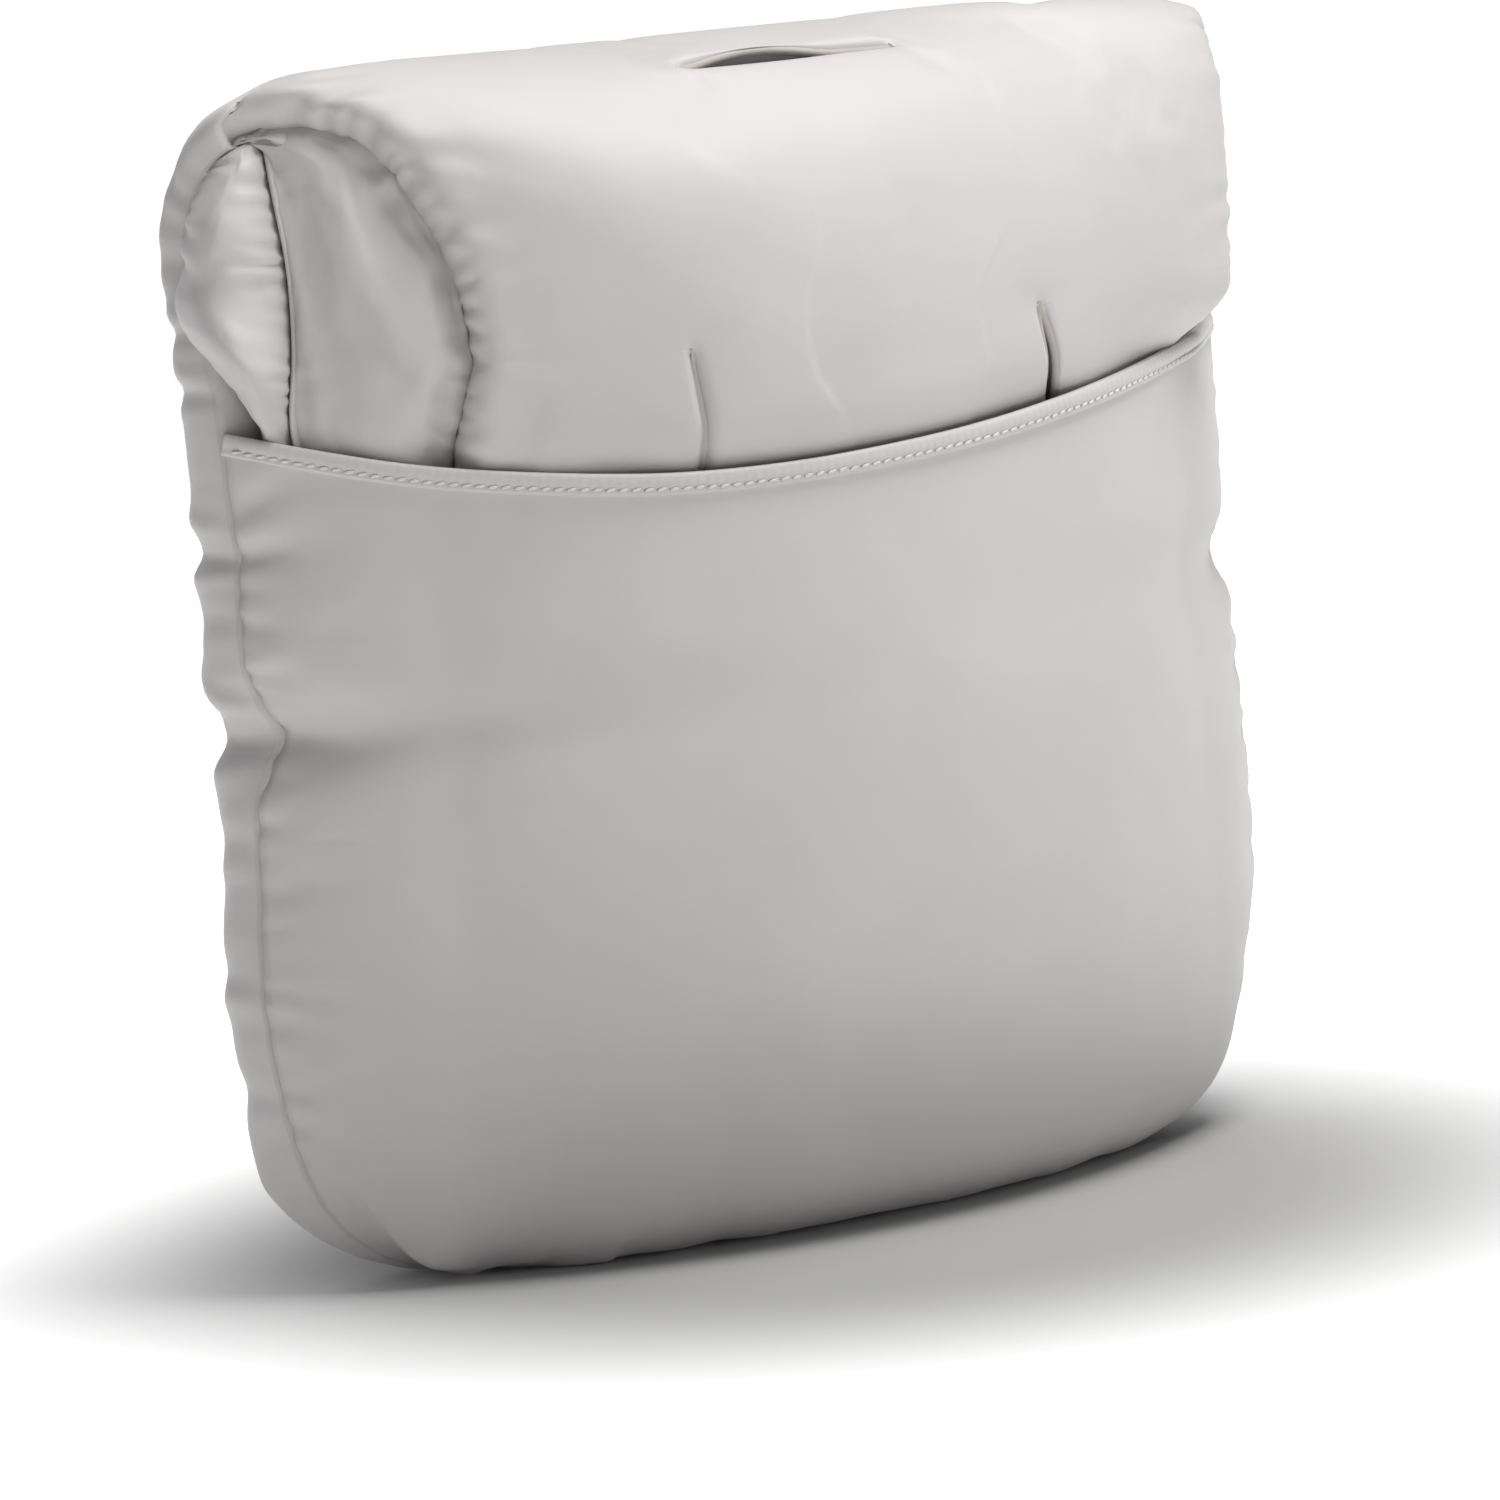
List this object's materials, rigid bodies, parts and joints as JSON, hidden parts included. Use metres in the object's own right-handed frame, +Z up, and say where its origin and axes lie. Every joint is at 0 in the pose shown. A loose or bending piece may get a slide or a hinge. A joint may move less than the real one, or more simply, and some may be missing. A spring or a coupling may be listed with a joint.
{
  "type": "padded footmuff",
  "caption": "Soft padded footmuff folded over itself, its upper half tucked into a front patch pouch, with bound slots for harness straps.",
  "frame": {"origin": "middle of the bounding box on the plane that the muff stands on", "axes": "+Z up, +X to the right as seen from the pouch side, -Y out of the pouch side"},
  "size_m": [0.5016, 0.157, 0.49],
  "materials": {
    "outer_fabric": "fine matt weave with a soft sheen",
    "seam_fabric": "the outer fabric, folded and topstitched",
    "lining_fabric": "soft matt",
    "wadding": "loose fill",
    "slot_binding": "folded tape",
    "stitching": "dense thread"
  },
  "bodies": {
    "foot_bag": {"back_shell": "outer_fabric", "back_wadding": "wadding", "inner_lining": "lining_fabric", "pouch_panel": "outer_fabric", "pouch_lining": "lining_fabric", "pouch_hem": "seam_fabric", "rear_fold_shell": "outer_fabric", "rear_fold_wadding": "wadding", "rear_cover": "lining_fabric", "left_rear_lobe": "outer_fabric", "right_rear_lobe": "outer_fabric"},
    "folded_half": {"front_shell": "outer_fabric", "left_front_lobe": "outer_fabric", "right_front_lobe": "outer_fabric", "left_edge_rim": "seam_fabric", "right_edge_rim": "seam_fabric", "left_lobe_placket": "seam_fabric", "right_lobe_placket": "seam_fabric", "front_lining": "lining_fabric", "cover_pad": "lining_fabric", "front_wadding": "wadding", "crotch_slot_binding": "slot_binding", "left_waist_slot_binding": "slot_binding", "right_waist_slot_binding": "slot_binding", "crotch_slot_left_bartack": "stitching", "crotch_slot_right_bartack": "stitching", "left_waist_slot_bartack": "stitching", "right_waist_slot_bartack": "stitching"}
  },
  "joints": [
    {"name": "unfold", "type": "hinge", "parent": "foot_bag", "child": "folded_half", "pos_m": [0, 0.0225, 0.4907], "axis": [-1, 0, 0], "range_deg": [0, 170], "deforming": ["pouch_panel", "pouch_lining", "pouch_hem"]}
  ]
}
